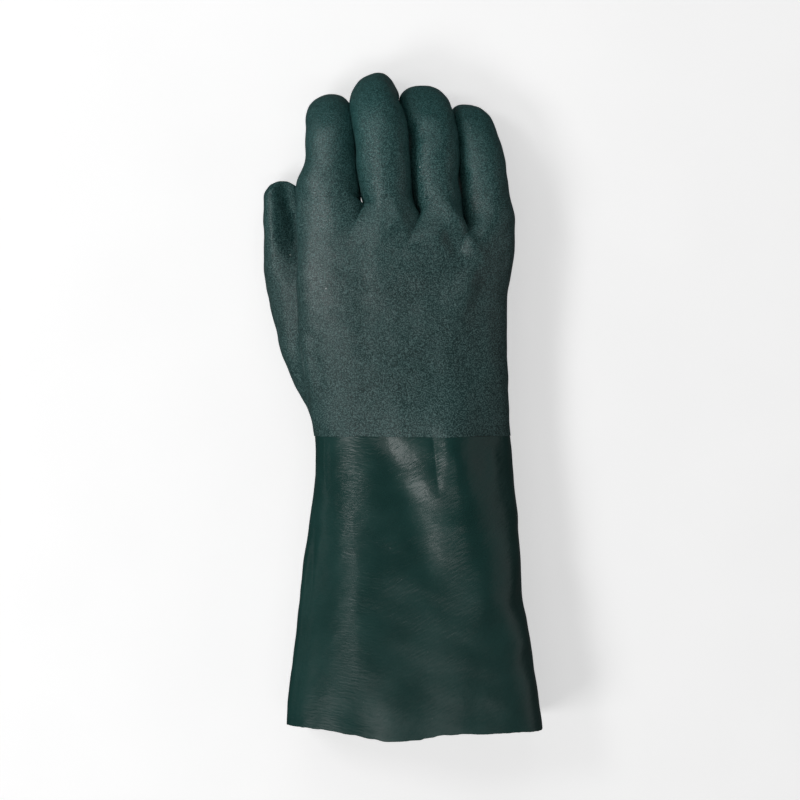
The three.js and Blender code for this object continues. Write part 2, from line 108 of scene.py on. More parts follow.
# Sections of the hand from the coating line to where the thumb leaves it
HAND_SECTIONS = table(
    "y left right top bottom roll",
    (COATING_LINE, -45.6, 56.9, 53, 6, 0.8),
    (-5, -47.9, 56.3, 53.7, 7, 1.4),
    (7, -50, 55.8, 54.8, 8, 2.2),
    (19, -51.5, 55.4, 56, 9, 3.2),
    (31, -52.8, 55.2, 57.3, 10, 4),
    (42, -53.8, 55, 58.4, 11, 4.8),
    (50, -54.3, 54.9, 59.2, 12, 5.3),
    (57, -54.6, 55, 60, 13, 5.7),
)

# The thumb's root, a lobe on the left of those sections, and how far it has grown and come apart
THUMB_ROOT = table(
    "y x z radius grown apart",
    (COATING_LINE, -28.4, 25, 17.4, 0, 0),
    (-5, -31, 24.5, 17.2, 0.6, 0),
    (7, -36.6, 24.5, 16.8, 1, 0),
    (19, -43, 23.5, 16.4, 1, 0),
    (31, -47.9, 21.8, 15.9, 1, 0.2),
    (42, -51, 19.6, 15.7, 1, 0.5),
    (50, -53, 18, 15.5, 1, 0.8),
    (57, -54.6, 16.6, 15.4, 1, 1),
)

# Sections of the palm from the thumb to the finger roots, slanted because the little finger leaves
# it nearest the wrist. back_left and palm_left are shares of the outline leftwards from the top.
# split is how far the fingers have parted sideways, and deep how far the valleys have sunk.
PALM_SECTIONS = table(
    "y_left y_right left right top bottom roll back_left palm_left split deep",
    (66, 65, -54.6, 56.2, 60.8, 14.5, 6, 0.278, 0.358, 0.08, 0),
    (76, 73, -54.2, 57.6, 61.3, 15.4, 6.2, 0.268, 0.346, 0.24, 0.02),
    (88, 80, -53.7, 58.8, 61.5, 16.4, 6.4, 0.254, 0.332, 0.55, 0.14),
    (100, 86, -54.3, 58.8, 61, 17.8, 6.4, 0.24, 0.318, 1, 1),
)
WEBS = table("x y", (-20.2, 104), (9, 99), (33.2, 90.5))

# The fingers lie at different heights, and each covers the edge of its lower neighbour
FINGER_SECTIONS = {
    "index": digit(
        (-37.9, 110, 40.4, 16.9, 17),
        (-37.5, 118, 39.6, 15.7, 16),
        (-36.15, 127, 38.2, 13.55, 15),
        (-36.65, 136, 36.1, 13.45, 14.3),
        (-37.25, 144, 31.7, 13.15, 13.5),
        (-37.7, 149.5, 25.4, 12.6, 12.8),
        (-37.5, 152.4, 18.4, 12.1, 12.6),
        (-37, 153.2, 11.8, 11.7, 12),
    ),
    "middle": digit(
        (-7.4, 110, 43, 13.6, 17),
        (-8.6, 118, 44.8, 13.6, 15.4),
        (-9.75, 128, 45, 13.95, 14.2),
        (-10.15, 139, 43, 14.05, 13.8),
        (-11.65, 149, 38, 13.65, 13.6),
        (-13.4, 157.5, 30.2, 13.2, 13.4),
        (-13.8, 163, 21.4, 12.5, 12.8),
        (-13, 165.2, 12.2, 11.7, 12.2),
    ),
    "ring": digit(
        (18.5, 106, 37.6, 12.7, 16.2),
        (17.25, 115, 37.2, 13.05, 14.6),
        (16.75, 126, 36.2, 13.25, 13.6),
        (16.45, 137, 33.6, 13.25, 13.2),
        (14.85, 146, 28.8, 13.35, 13.2),
        (12.9, 152.8, 22.8, 13.2, 13),
        (11.7, 156.6, 17, 12.9, 12.6),
        (11.2, 158, 12, 12.2, 12.2),
    ),
    "little": digit(
        (45.3, 97, 32.2, 13.6, 15.4),
        (43.9, 106, 30.3, 13.4, 14.7),
        (42.35, 116, 28.8, 13.25, 14),
        (41.45, 126, 27.1, 12.85, 13.5),
        (40.05, 135.4, 24.6, 12.15, 12.6),
        (38.1, 143.2, 20, 11.8, 12.2),
        (36.3, 147.8, 15, 11.4, 11.7),
        (35, 149.8, 10.8, 10.8, 11),
    ),
}
THUMB = digit(
    (-56.8, 66, 15.7, 15, 15.2),
    (-58.2, 76, 15, 14.8, 14.8),
    (-59, 86, 14.3, 13.9, 14.3),
    (-60.5, 97, 13.7, 12.6, 13.5),
    (-63.3, 110.2, 13, 9.5, 11.5),
)

# The top of the thumb leans to the right, under the palm's side. It sinks by a share of its height
# above the middle, which grows between two places across, in radii from the middle, and two along.
THUMB_LEAN = 0.82
THUMB_LEAN_INSIDE = 0.94
LEAN_ACROSS = (-1.0, 0.4)
LEAN_ALONG = (62, 92)
THUMB_SKIN = table("y beyond", (86, THUMB_GAP / 2), (110, 3.5))  # how far past its radius it lies
THUMB_SKIN_ENDS = 130  # everything past this y is a finger's

# How much wider or narrower a fingertip is than those round sections, at angles in degrees from the
# right over the back of the finger
TIP_ANGLES = (-60, 0, 30, 60, 90, 120, 150, 180, 240)
TIP_SHAPES = {
    "index": (1, 1.03, 1.04, 1.045, 0.99, 0.95, 1, 0.99, 1),
    "middle": (1, 0.95, 0.885, 1, 0.97, 0.91, 0.97, 1.06, 1),
    "ring": (1, 1.03, 1.07, 1.03, 0.98, 1.06, 1.09, 1.02, 1),
    "little": (1, 1.01, 1, 0.99, 0.975, 1.1, 1.06, 1, 1),
}
ROUND_TIP = (1,) * len(TIP_ANGLES)
TIP_BEGINS = 3  # the section after which a finger takes its tip's shape
TIP_FULL = 5  # and the one from which it has all of it

WEB_PULL = (0.5, 1, 1, 0.5)  # how far the corners beside a web's edges come with it
INDEX_CORNER = math.radians(150)  # where the first corner of a digit's rings lies
FINGER_CORNER = math.radians(135)
THUMB_CORNER = math.radians(-5)
TIP_LATITUDES = (math.radians(30), math.radians(56))  # of the rings on its dome
THUMB_SIDE = 0.33  # share of the sections' outlines, leftwards from the top, to the thumb
CREASE_FILL = 0.8  # how much of the crease by the thumb's root fades at the wrist
OUTLINE_DIVISIONS = 720
BISECTIONS = 30
TINY = 1e-9

# How far the cut hem reaches past its section, at places round the outline
HEM_WAVES = table(
    "at spread out", (0.97, 0.07, 4.8), (0.11, 0.035, 1.2), (0.2, 0.06, 1), (0.8, 0.1, -1.4))

# Smooth random waves, each with the seed that makes it the same on every run
WAVE_COLUMNS = "length height seed"
COAT_WAVES = {
    "sandy": table(WAVE_COLUMNS, (26, 0.28, 3), (11, 0.16, 5)),
    "smooth": table(WAVE_COLUMNS, (26, 0.17, 3), (11, 0.05, 5)),
}
LIP_WAVES = table(WAVE_COLUMNS, (16, 0.3, 8), (5, 0.12, 9))
HEM_RAGS = table(WAVE_COLUMNS, (7, 0.16, 21), (2.5, 0.08, 22))
HEM_RADIUS = 48  # of a circle that stands for the hem's outline in its waves
SINES_IN_WAVE = 10
SINE_LENGTHS = (0.6, 1.7)  # shortest and longest, against the wave's own length

# Ridges and hollows along lines on the back of the glove: how far one spreads to the left and to
# the right of its line, and the line's x, y and height out of the surface
FOLDS = table(
    "left right line",
    # Over the knuckles
    (4.6, 3.2, [(21.5, 110, 0), (24, 102.2, 2.4), (28.8, 93, 3.8), (36, 83.7, 1.9),
                (42.4, 76.1, 1.2), (46, 70.4, 0)]),
    (5, 3.4, [(18.6, 103.7, 0), (23.2, 92.5, -1.9), (28.5, 82.5, -2.1), (33.8, 73, -1.1),
              (37.8, 65.3, 0)]),
    (2.4, 2.8, [(-4.6, 108.8, 0), (-3.1, 101.1, 0.8), (1, 94, 0.9), (3.1, 83.2, 0.5),
                (4.1, 74.5, 0)]),
    (2.6, 2.6, [(-12.3, 111.4, 0), (-12.3, 102.2, 0.7), (-12.3, 93, 0.5), (-12.3, 85.8, 0)]),
    # Over the back of the hand
    (8, 8, [(-25.6, 98.6, 0), (-21.5, 80.7, -0.6), (-18.4, 60.2, -0.6), (-15.4, 39.7, 0)]),
    (5, 10, [(-50, 106, 0), (-50.5, 95, 1.4), (-50.5, 80, 2.2), (-50, 64, 2.2), (-48, 50, 1.4),
             (-45, 38, 0)]),
    (8, 8, [(-38.9, 88.4, 0), (-36.9, 65.3, 1), (-33.8, 44.9, 1.2), (-26.6, 24.4, 0.8),
            (-22.5, 3.9, 0.2), (-22, -8, 0)]),
    (8, 5, [(38, 76, 0), (34.5, 66.3, 3.2), (32, 57.1, 2.6), (27, 39.7, 0.8), (24.5, 24.4, 0.6),
            (22.5, 11.6, 0)]),
    (8, 10, [(24.5, 70.4, 0), (19.4, 60.2, 0.5), (13.3, 44.9, 0.6), (11.2, 32.1, 0)]),
    # Where the thumb's root meets the palm
    (3.5, 3.5, [(-51.5, 48, 0), (-50, 32, 1.3), (-48, 16, 1.3), (-44, 2, 0)]),
    (4, 4, [(-57.5, 48, 0), (-56, 32, -1), (-53.5, 16, -1), (-49, 2, 0)]),
    # Over the wrist and down the gauntlet
    (17, 20, [(-9, 37, 0), (-7, 24, 0.5), (-2, 9, 1), (9, -9, 2.6), (16, -15, 4), (21, -24.2, 5.2),
              (24, -37, 5.4), (31, -52.4, 5.1), (33.5, -67.7, 4.4), (38.5, -80.5, 3.2),
              (43, -95, 1.2), (45, -110, 0)]),
    (8, 9, [(-23.6, 3.9, 0), (-18.4, -8.9, -0.6), (-8.7, -19.1, -1.3), (-5.2, -29.3, -1.6),
            (-1, -39.6, -1.5), (4.6, -52.4, -1.4), (9, -67.7, -1.3), (13, -80.5, -1.1),
            (17, -96, 0)]),
    (8, 14, [(23, 38, 0), (23.5, 24.4, 0.5), (25, 9, 0.7), (24.6, -8, 2), (25, -15, 3),
             (26.6, -24.2, 3.6), (27.6, -37, 2.4), (29.7, -52.4, 0.6), (30.5, -64, 0)]),
    (0.9, 0.9, [(-39.9, -15.5, 0.3), (-39.9, -31.9, 0.3), (-39.4, -44.7, 0)]),
    (4, 5, [(45, -16, 0), (46, -23, 0.7), (47.1, -31.9, 0.6), (48.6, -47.3, 0)]),
    (14, 14, [(-45, -40, 0), (-45, -58, -1.5), (-45.5, -75, -3.2), (-46, -95, -4.3),
              (-47, -120, -4.3), (-48, -140, -3.4), (-49, -168, -2.8)]),
    (7, 12, [(-21, -60, 0), (-21, -80, 0.6), (-21, -100, 1), (-21, -125, 1), (-22, -145, 0.5),
             (-22, -160, 0)]),
    (12, 10, [(37.8, -78, 0), (41.9, -98.4, 1.5), (32.7, -118.9, 1.4), (28.6, -139.4, 1.5),
              (27.6, -161.9, 1.2)]),
    (12, 14, [(-25.6, -114, 0), (-14, -132, 1.4), (-5.1, -150, 2.4), (-3.1, -168, 2.4)]),
    (6, 5, [(63.9, -85.6, 0), (61.9, -98.4, -1.4), (61.4, -109.2, -0.8), (60.9, -118.9, 0)]),
    (4, 5, [(65.5, -121.4, 0), (65, -129.6, -0.8), (64.5, -139.4, 0)]),
)

# Creases in the same columns, which are sharp where those are soft
CREASES = table(
    "left right line",
    (3, 5, [(14.4, -9, 0), (15.4, -15, -1.1), (16.5, -24.2, -1.3), (17.7, -37, -1),
            (18.6, -47, 0)]),
)
LINE_STEPS = 6  # between two places of a line
FOLD_REACH = 2.6  # how many times its spread a fold is felt
FACING_UP = (0.05, 0.55)  # rise of the surface's normal between which the folds come in
HEIGHT_BLEND = 0.5  # added to the distances that weight a line's stretches for its height
HEIGHT_FALL = 6  # the power with which that weight falls

# Fineness of the finished surfaces
SUBDIVISIONS = 3  # outside of the hand
SUBDIVISIONS_INSIDE = 1
FITTING_PASSES = 4  # that bring a subdivided surface back to its cage's corners
GAUNTLET_GRID = (384, 210)  # facets round and along it
GAUNTLET_GRID_INSIDE = (96, 36)
SHARP_EDGE = math.radians(50)

# The lip of the sandy coat on the gauntlet
LIP = 0.45  # how far it laps over
LIP_LEAST = 0.1
LIP_ROUNDED = 0.8  # share of the lip before its edge rounds off
LIP_SINK = 0.15  # how deep it sits in the gauntlet's coat

# Colours, as linear red, green and blue. Where there are two, the surface varies between them.
BETWEEN_GRAINS = ((0.006, 0.034, 0.033), (0.010, 0.048, 0.046))
# The two colours at the fingertips hold painted light: the sandy coat is painted lighter and
# greener towards the tips, standing for the light the fingers catch.
BETWEEN_GRAINS_PAINTED_LIT_TIPS = (0.006, 0.060, 0.058)
GRAINS = (0.112, 0.211, 0.206)
GRAINS_PAINTED_LIT_TIPS = (0.080, 0.225, 0.220)
DUST_ON_SANDY = (0.6, 0.65, 0.65)
SMOOTH_COAT = ((0.0115, 0.054, 0.048), (0.015, 0.066, 0.059))
DUST_ON_SMOOTH = (0.4, 0.45, 0.45)
COTTON = ((0.42, 0.40, 0.35), (0.66, 0.64, 0.58))
FLOOR_TONES = ((0.84, 0.84, 0.84), (0.87, 0.87, 0.87))

# Studio: places and sizes in metres, power in watts
CAMERA_LENS = 100.96
CAMERA_SENSOR = 36
CAMERA_PLACE = (-0.001034, 0.000468, 1.2)
FLOOR_SIZE = 24.0
FLOOR_Z = -0.0001
FLOOR_GLOW = 0.62  # the floor is lit from below as a light table is
WORLD_STRENGTH = 0.05
LIGHTS = table(
    "name place size power",
    ("key_panel", (-0.71, -0.48, 0.92), (0.52, 0.3), 3.8),
    ("hand_panel", (-0.71, 0.32, 0.92), (0.3, 0.22), 1.75),
    ("left_panel", (-0.85, 0.7, 0.36), (0.6, 0.5), 0.8),
    ("left_rim", (-1.3, 0.2, 0.18), (1.2, 0.25), 0.7),
    ("right_panel", (1.05, 0.05, 0.55), (0.8, 0.5), 0.4),
    ("right_rim", (1.3, 0.1, 0.24), (1.4, 0.4), 0.65),
    ("tips_panel", (-0.1, 0.62, 0.55), (0.8, 0.5), 0.85),
    ("top_panel", (0.0, -0.62, 1.55), (1.2, 0.3), 1.9),
)


class Section:
    """A closed outline, set in by inset, clockwise from its top seen towards the fingertips."""

    def __init__(self, row, inset):
        left, right, top, bottom = (row[side] for side in ("left", "right", "top", "bottom"))
        self.centre = np.array([(left + right) / 2, (top + bottom) / 2])
        self.half = np.array([(right - left) / 2, (top - bottom) / 2]) - inset
        self.roll = math.radians(row["roll"])
        self.power = row.get("power", ROUNDNESS)
        self.turns = np.linspace(0, 1, OUTLINE_DIVISIONS + 1)
        steps = np.linalg.norm(np.diff(self.at_turn(self.turns), axis=0), axis=1)
        self.lengths = np.concatenate([[0], np.cumsum(steps)])

    def at_turn(self, turns):
        """x and z at shares of a full turn."""
        angle = TAU * (0.25 - np.asarray(turns))
        unit = np.stack([np.cos(angle), np.sin(angle)], axis=1)
        x, z = (self.half * np.sign(unit) * np.abs(unit) ** (2 / self.power)).T
        c, s = math.cos(self.roll), math.sin(self.roll)
        return np.stack([x * c + z * s, z * c - x * s], axis=1) + self.centre

    def at(self, shares):
        """x and z at shares of the outline's length."""
        along = np.mod(shares, 1) * self.lengths[-1]
        return self.at_turn(np.interp(along, self.lengths, self.turns))

    def share_at_circle(self, root, radius, outer, inner):
        """The share, between one outside a circle and one inside it, where the outline meets it."""
        for _ in range(BISECTIONS):
            middle = (outer + inner) / 2
            x, z = self.at([middle])[0]
            if math.hypot(x - root["x"], z - root["z"]) > radius:
                outer = middle
            else:
                inner = middle
        return outer


def hand_ring(row, left_facets, inset):
    """Corners of the facets round a section of the hand, at y 0."""
    shares = []
    for start, end, facets in (
        (-row["back_left"], SHOULDER, BACK_FACETS),
        (SHOULDER, 0.5 - SHOULDER, PALM_SIDE_FACETS),
        (0.5 - SHOULDER, 1 - row["palm_left"], BACK_FACETS),
        (1 - row["palm_left"], 1 - row["back_left"], left_facets),
    ):
        before = np.concatenate([[0], np.cumsum(facets)])
        shares.extend(start + (end - start) * before[:-1] / before[-1])
    outline = Section(row, inset).at(np.array(shares))
    return np.stack([outline[:, 0], np.zeros(len(outline)), outline[:, 1]], axis=1)


def with_crease(row, root):
    """A section whose back and palm side end at the crease round the thumb's root."""
    section = Section(row, 0)
    reach = root["radius"] + THUMB_GAP
    return {
        **row,
        "back_left": -section.share_at_circle(root, reach, 0, -THUMB_SIDE),
        "palm_left": -section.share_at_circle(root, reach, -0.5, -THUMB_SIDE),
    }


def lobe_arc(root, inset, start_point, end_point, facets):
    """Corners on the thumb's root, clockwise from the direction of one point to that of another."""
    start, end = (math.atan2(p[2] - root["z"], p[0] - root["x"]) for p in (start_point, end_point))
    angles = start - ((start - end) % TAU) * np.arange(facets + 1) / facets
    reach = root["radius"] - inset
    xs = root["x"] + reach * np.cos(angles)
    zs = root["z"] + reach * np.sin(angles)
    return np.stack([xs, np.full(facets + 1, float(root["y"])), zs], axis=1)


def thumb_beside(y):
    """The thumb's centre and radius beside the palm."""
    rows = [THUMB_ROOT[-1], *({**row, "radius": row["width"]} for row in THUMB)]
    ys = [row["y"] for row in rows]
    return {key: np.interp(y, ys, [row[key] for row in rows]) for key in ("x", "z", "radius")}


def give_way(point, thumb, inset):
    """The soft side of the palm gives way to the thumb under it."""
    away = np.array([point[0] - thumb["x"], 0, point[2] - thumb["z"]])
    least = thumb["radius"] + THUMB_GAP + inset
    length = np.linalg.norm(away)
    if length >= least:
        return point
    away *= least / length
    return np.array([thumb["x"] + away[0], point[1], thumb["z"] + away[2]])


def centre_of(row):
    """The centre of a digit's section."""
    return np.array([row["x"], row["y"], row["z"]], float)


def direction_at(rows, n):
    """The way a digit points at one of its sections."""
    ahead = centre_of(rows[min(n + 1, len(rows) - 1)]) - centre_of(rows[max(n - 1, 0)])
    return ahead / np.linalg.norm(ahead)


def digit_ring(row, ahead, corner, inset, shape, latitude=0.0):
    """Points of a digit's section, clockwise seen from its root, in the plane across the way ahead.
    Those of a latitude lie on the dome of its tip."""
    sideways = np.array([1.0, 0, 0]) - ahead[0] * ahead
    sideways /= np.linalg.norm(sideways)
    upwards = np.cross(sideways, ahead)
    angles = corner - TAU * np.arange(AROUND_DIGIT) / AROUND_DIGIT
    shrink = math.cos(latitude) * np.interp(np.degrees(angles), TIP_ANGLES, shape, period=360)
    width, depth = row["width"] - inset, row["depth"] - inset
    centre = centre_of(row) + ahead * width * math.sin(latitude)
    across = np.outer(width * shrink * np.cos(angles), sideways)
    return centre + across + np.outer(depth * shrink * np.sin(angles), upwards)


class Skin:
    """A surface of quads that share their corners."""

    def __init__(self):
        self.points = []
        self.quads = []

    def add(self, points):
        """Adds points and returns their numbers."""
        first = len(self.points)
        self.points.extend(np.array(p, float) for p in points)
        return list(range(first, len(self.points)))

    def join(self, near, far):
        """Joins two rings with the same number of corners, clockwise seen from the near one."""
        for n, corner in enumerate(near):
            after = (n + 1) % len(near)
            self.quads.append((corner, near[after], far[after], far[n]))

    def bridge(self, left, right):
        """Joins two open rows of corners, the second on the right of the first."""
        for n in range(len(left) - 1):
            self.quads.append((left[n], right[n], right[n + 1], left[n + 1]))

    def grow_digit(self, root, rows, corner, inset, tip_shape):
        """Grows a digit out of its root ring and closes its tip."""
        excess = np.array(tip_shape) - 1
        rings = []
        for n, row in enumerate(rows):
            share = np.clip((n - TIP_BEGINS) / (TIP_FULL - TIP_BEGINS), 0, 1)
            rings.append(digit_ring(row, direction_at(rows, n), corner, inset, 1 + excess * share))
        last, ahead = rows[-1], direction_at(rows, len(rows) - 1)
        for latitude in TIP_LATITUDES:
            rings.append(digit_ring(last, ahead, corner, inset, tip_shape, latitude))
        ring = root
        for points in rings:
            after = self.add(points)
            self.join(ring, after)
            ring = after
        self.close_tip(ring, centre_of(last) + ahead * (last["width"] - inset), ahead)

    def close_tip(self, ring, tip, ahead):
        """Fills the last ring of a digit with a domed grid of quads."""
        cells = AROUND_DIGIT // 4
        grid = [[None] * (cells + 1) for _ in range(cells + 1)]
        for n in range(cells):
            grid[0][n] = ring[n]
            grid[n][cells] = ring[cells + n]
            grid[cells][cells - n] = ring[2 * cells + n]
            grid[cells - n][0] = ring[3 * cells + n]
        rise = (tip - self.points[ring[0]]) @ ahead
        for r in range(1, cells):
            for c in range(1, cells):
                ends = (grid[r][0], grid[r][cells], grid[0][c], grid[cells][c])
                west, east, north, south = (self.points[corner] for corner in ends)
                across = west + (east - west) * c / cells
                along = north + (south - north) * r / cells
                dome = (1 - (2 * c / cells - 1) ** 2) * (1 - (2 * r / cells - 1) ** 2)
                grid[r][c] = self.add([(across + along) / 2 + ahead * rise * dome])[0]
        for r in range(cells):
            self.bridge(grid[r + 1], grid[r])


def root_shifts(inset):
    """How the finger roots move the last palm section's corners, sideways and into the valleys."""
    ring = hand_ring(PALM_SECTIONS[-1], PALM_SIDE_FACETS, inset)
    half = WEB_WIDTH / 2 + inset
    starts = [ring[0][0], *(web["x"] + half for web in WEBS)]
    ends = [*(web["x"] - half for web in WEBS), ring[BACK][0]]
    shifts = np.zeros((len(ring), 3))
    for column in range(BACK + 1):
        finger, step = divmod(column, ACROSS + 1)
        along = step / ACROSS
        x = starts[finger] + (ends[finger] - starts[finger]) * along
        outermost = (finger == 0 and along < 0.5) or (finger == FINGERS - 1 and along > 0.5)
        valley = 0 if outermost else 1 - math.sin(math.pi * along)
        below = PALM_LEFT - column
        shifts[column] = (x - ring[column][0], 0, -VALLEY_ON_BACK * valley)
        shifts[below] = (x - ring[below][0], 0, VALLEY_ON_PALM * valley)
    return shifts


def palm_ring(row, shifts, inset):
    """Corners round a slanted section of the palm."""
    points = hand_ring(row, PALM_SIDE_FACETS, inset) + shifts * (row["split"], 0, row["deep"])
    slant = (row["y_right"] - row["y_left"]) / (row["right"] - row["left"])
    points[:, 1] = row["y_left"] + (points[:, 0] - row["left"]) * slant
    return [give_way(point, thumb_beside(point[1]), inset) for point in points]


def bend_to_webs(ring, inset):
    """Bends the last palm section to pass through the webs."""
    for column, web in zip(WEB_CORNERS, WEBS):
        bend = web["y"] - inset - ring[column][1]
        for step, pull in enumerate(WEB_PULL):
            beside = column - 1 + step
            ring[beside][1] += bend * pull
            ring[PALM_LEFT - beside][1] += bend * pull
    return ring


def grow_wrist(skin, inset):
    """The hand from the coating line to where the thumb leaves it, and its last ring."""
    rings = []
    for row, root in zip(HAND_SECTIONS, THUMB_ROOT):
        points = hand_ring(with_crease(row, root), THUMB_SIDE_FACETS, inset)
        points[:, 1] = row["y"]
        for end in (PALM_LEFT, 0):
            points[end] += (give_way(points[end], root, inset) - points[end]) * root["apart"]
        arc = lobe_arc(root, inset, points[PALM_LEFT], points[0], THUMB_LOBE)
        side = points[PALM_LEFT + 1:PALM_LEFT + 2 + THUMB_LOBE]
        side += (arc - side) * root["grown"]
        rings.append(skin.add(points))
    for near, far in zip(rings, rings[1:]):
        skin.join(near, far)
    return rings[-1]


def grow_thumb(skin, ring, inset):
    """Grows the thumb from the lobe of the last wrist ring, and returns the ring round the palm."""
    row, root = HAND_SECTIONS[-1], THUMB_ROOT[-1]
    lobe = ring[PALM_LEFT + 1:]
    back_end, palm_end = ring[0], ring[PALM_LEFT]
    under_palm = lobe_arc(root, inset, skin.points[back_end], skin.points[palm_end], DEEP)[1:-1]
    side = hand_ring(with_crease(row, root), PALM_SIDE_FACETS, inset)[PALM_LEFT + 1:]
    side[:, 1] = row["y"]
    thumb_web = skin.add(under_palm)
    palm_web = skin.add([give_way(point, root, inset) for point in side])
    root_edge = [lobe[0], *reversed(thumb_web), lobe[THUMB_LOBE]]
    palm_edge = [palm_end, *palm_web, back_end]
    for corner in [*root_edge, *palm_edge]:
        skin.points[corner][1] -= inset
    skin.bridge(palm_edge, root_edge)
    skin.grow_digit([*lobe, *thumb_web], THUMB, THUMB_CORNER, inset, ROUND_TIP)
    return [*ring[:PALM_LEFT + 1], *palm_web]


def grow_palm(skin, palm, inset):
    """The palm up to the finger roots, and its last ring."""
    shifts = root_shifts(inset)
    for row in PALM_SECTIONS:
        points = palm_ring(row, shifts, inset)
        after = skin.add(bend_to_webs(points, inset) if row is PALM_SECTIONS[-1] else points)
        skin.join(palm, after)
        palm = after
    return palm


def grow_fingers(skin, palm, inset):
    """The webs between the finger roots, and the fingers."""
    webs = []
    for column in WEB_CORNERS:
        edges = []
        for edge in (column, column + 1):
            top, bottom = palm[edge], palm[PALM_LEFT - edge]
            drop = (skin.points[bottom] - skin.points[top]) / DEEP
            inner = skin.add([skin.points[top] + drop * step for step in range(1, DEEP)])
            edges.append([top, *inner, bottom])
        skin.bridge(*edges)
        webs.append([edge[1:-1] for edge in edges])
    thumb_side = palm[PALM_LEFT + 1:]
    far_side = palm[BACK + 1:BACK + DEEP]
    for finger, (name, rows) in enumerate(FINGER_SECTIONS.items()):
        columns = [finger * (ACROSS + 1) + n for n in range(ACROSS + 1)]
        root = [palm[column] for column in columns]
        root += webs[finger][0] if finger < FINGERS - 1 else far_side
        root += [palm[PALM_LEFT - column] for column in reversed(columns)]
        root += webs[finger - 1][1][::-1] if finger > 0 else thumb_side
        corner = INDEX_CORNER if finger == 0 else FINGER_CORNER
        skin.grow_digit(root, rows, corner, inset, TIP_SHAPES[name])


def hand_skin(inset):
    """Points and quads of the hand's skin set in by inset. The wrist's rings come first."""
    skin = Skin()
    palm = grow_thumb(skin, grow_wrist(skin, inset), inset)
    grow_fingers(skin, grow_palm(skin, palm, inset), inset)
    return np.array(skin.points), skin.quads


def placed(name, data):
    """A new object in the scene."""
    thing = bpy.data.objects.new(name, data)
    bpy.context.scene.collection.objects.link(thing)
    return thing


def subdivided(points, quads, level):
    """A smooth surface through a cage's corners, as its points and quads. The cage's come first."""
    mesh = bpy.data.meshes.new("cage")
    mesh.from_pydata(points.tolist(), [], quads)
    cage = placed("cage", mesh)
    modifier = cage.modifiers.new("smooth", "SUBSURF")
    modifier.use_limit_surface = True
    corners = points.copy()
    for remaining in range(FITTING_PASSES, -1, -1):
        modifier.levels = 1 if remaining else level
        mesh.vertices.foreach_set("co", corners.astype(np.float32).ravel())
        mesh.update()
        bpy.context.view_layer.update()
        evaluated = cage.evaluated_get(bpy.context.evaluated_depsgraph_get())
        surface = evaluated.to_mesh()
        smooth = np.empty(len(surface.vertices) * 3, np.float32)
        surface.vertices.foreach_get("co", smooth)
        smooth = smooth.reshape(-1, 3).astype(float)
        if remaining:
            corners += points - smooth[:len(points)]
        else:
            loops = np.empty(len(surface.loops), np.int32)
            surface.loops.foreach_get("vertex_index", loops)
        evaluated.to_mesh_clear()
    bpy.data.objects.remove(cage)
    bpy.data.meshes.remove(mesh)
    return smooth, loops.reshape(-1, 4)


def normals_of(points, quads):
    """Unit normals at the points of a mesh of quads."""
    a, b, c, d = (points[quads[:, n]] for n in range(4))
    across = np.cross(c - a, d - b)
    normals = np.zeros_like(points)
    for n in range(4):
        np.add.at(normals, quads[:, n], across)
    return normals / np.maximum(np.linalg.norm(normals, axis=1, keepdims=True), TINY)


def rim_loop(quads, first, second):
    """The open edge of a surface as a loop of corners, from one corner towards another."""
    edges = np.concatenate([quads[:, [n, (n + 1) % 4]] for n in range(4)])
    either_way = np.sort(edges, axis=1)
    _, where, count = np.unique(either_way, axis=0, return_index=True, return_counts=True)
    beside = {}
    for a, b in edges[where[count == 1]].tolist():
        beside.setdefault(a, []).append(b)
        beside.setdefault(b, []).append(a)
    loop, last, here = [first], first, beside[first][0]
    while here != first:
        loop.append(here)
        last, here = here, next(p for p in beside[here] if p != last)
    return loop if second in loop[:len(loop) // 2] else [first, *loop[:0:-1]]


def smoothstep(value, low, high):
    """0 at low and 1 at high, with a soft start and end."""
    t = np.clip((value - low) / (high - low), 0, 1)
    return t * t * (3 - 2 * t)


def wave_at(points, length, seed):
    """A smooth random field between about -1 and 1, the same on every run."""
    random = np.random.default_rng(seed)
    field = np.zeros(len(points))
    for _ in range(SINES_IN_WAVE):
        direction = random.normal(size=3)
        direction /= np.linalg.norm(direction)
        scale = random.uniform(*SINE_LENGTHS) * length
        phase = random.uniform(0, TAU)
        field += np.sin(TAU * (points @ direction) / scale + phase)
    return field / math.sqrt(SINES_IN_WAVE)


def waves_at(points, rows):
    """The height at points of all the waves of a table together."""
    return sum(row["height"] * wave_at(points, row["length"], row["seed"]) for row in rows)


def between(values, slopes, n, t):
    """The values a share t of the way from the one at n to the next, on a smooth curve."""
    return ((2 * t**3 - 3 * t**2 + 1) * values[n] + (3 * t**2 - 2 * t**3) * values[n + 1]
            + (t**3 - 2 * t**2 + t) * slopes[n] + (t**3 - t**2) * slopes[n + 1])


def curved(line):
    """A smooth line through the places of a line."""
    line = np.array(line, float)
    slopes = np.gradient(line, axis=0)
    t = (np.arange(LINE_STEPS) / LINE_STEPS)[:, None]
    parts = [between(line, slopes, n, t) for n in range(len(line) - 1)]
    return np.concatenate([*parts, line[-1:]])


def beside_line(plan, line):
    """Distance of points from a line, whether they lie on its right, and its height beside them."""
    nearest = np.full(len(plan), np.inf)
    side, heights, weights = np.zeros((3, len(plan)))
    for start, step in zip(line, np.diff(line, axis=0)):
        part = np.clip((plan - start[:2]) @ step[:2] / (step[:2] @ step[:2]), 0, 1)
        away = plan - start[:2] - part[:, None] * step[:2]
        distance = np.linalg.norm(away, axis=1)
        closer = distance < nearest
        nearest[closer] = distance[closer]
        side[closer] = (step[0] * away[:, 1] - step[1] * away[:, 0])[closer]
        weight = (distance + HEIGHT_BLEND) ** -HEIGHT_FALL
        heights += weight * (start[2] + part * step[2])
        weights += weight
    return nearest, side > 0, heights / weights


